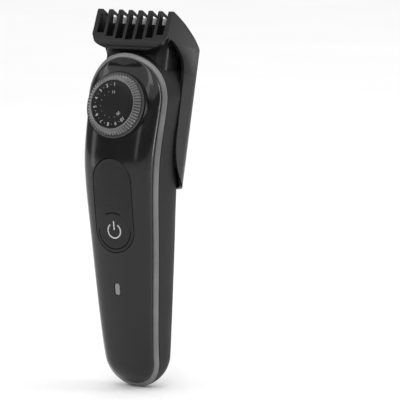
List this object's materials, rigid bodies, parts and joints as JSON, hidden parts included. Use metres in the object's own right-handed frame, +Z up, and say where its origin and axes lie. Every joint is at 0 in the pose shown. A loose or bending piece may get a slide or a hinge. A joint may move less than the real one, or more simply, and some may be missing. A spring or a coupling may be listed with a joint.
{
  "type": "beard trimmer",
  "caption": "Cordless beard trimmer with a rounded handle, a length dial on the front, a power pad and a clip-on comb over a steel cutting head.",
  "frame": {"origin": "middle of the object's footprint at the rounded charging end of the handle", "axes": "+Z up the handle to the comb's tips, -Y out of the dial side, +X across the handle"},
  "size_m": [0.0436, 0.0492, 0.1774],
  "materials": {
    "gloss_black": "polished black",
    "soft_black": "soft satin black",
    "satin_grey": "satin metallic grey",
    "inner_plastic": "moulded dark grey",
    "steel": "ground steel",
    "brass": "plain",
    "board_green": "solder mask",
    "cell_sleeve": null,
    "clear_grey": "clear smoked"
  },
  "bodies": {
    "housing": {"front_panel": "gloss_black", "rear_shell": "soft_black", "trim_strip": "satin_grey", "grip_pad": "soft_black", "charge_light": "clear_grey", "charge_led": "clear_grey", "circuit_board": "board_green", "power_switch": "steel", "battery_cell": "cell_sleeve", "battery_tab_lower": "steel", "battery_tab_upper": "steel", "chassis": "inner_plastic", "chassis_screw_1": "steel", "chassis_screw_2": "steel", "chassis_screw_3": "steel", "chassis_screw_4": "steel", "charging_socket": "inner_plastic", "charging_pin_left": "brass", "charging_pin_right": "brass", "motor": "steel", "motor_bracket": "inner_plastic", "dial_gasket": "soft_black", "dial_click_spring": "steel", "head_neck": "soft_black", "blade_base": "inner_plastic", "blade_cover": "gloss_black", "fixed_blade": "steel"},
    "dial": {"dial_knob": "satin_grey", "dial_face": "gloss_black", "dial_shaft": "inner_plastic", "dial_cam": "inner_plastic"},
    "carriage": {"comb_carriage": "inner_plastic", "follower_pin": "steel"},
    "comb_guard": {"comb": "gloss_black"},
    "button": {"power_button": "soft_black"},
    "cutter": {"moving_blade": "steel", "blade_yoke": "inner_plastic"},
    "rotor": {"drive_shaft": "steel"}
  },
  "joints": [
    {"name": "dial_turn", "type": "hinge", "parent": "housing", "child": "dial", "pos_m": [0, -0.0179, 0.1345], "axis": [0, 0.9703, -0.2419], "range_deg": [0, 225]},
    {"name": "comb_lift", "type": "slide", "parent": "housing", "child": "carriage", "axis": [0, 0.2419, 0.9703], "range_m": [0, 0.009]},
    {"name": "comb_pull", "type": "slide", "parent": "carriage", "child": "comb_guard", "axis": [0, 0.2419, 0.9703], "range_m": [0, 0.08]},
    {"name": "power_press", "type": "slide", "parent": "housing", "child": "button", "axis": [0, 1, 0], "range_m": [0, 0.0006], "stiffness_N_per_m": 500},
    {"name": "blade_stroke", "type": "slide", "parent": "housing", "child": "cutter", "axis": [1, 0, 0], "range_m": [-0.0009, 0.0009]},
    {"name": "motor_spin", "type": "hinge", "parent": "housing", "child": "rotor", "pos_m": [0, 0.00102, 0.12978], "axis": [0, 0.2419, 0.9703], "continuous": true}
  ],
  "couplings": [
    {"joint": "comb_lift", "follows": "dial_turn", "m_per_rad": 0.0022918}
  ]
}
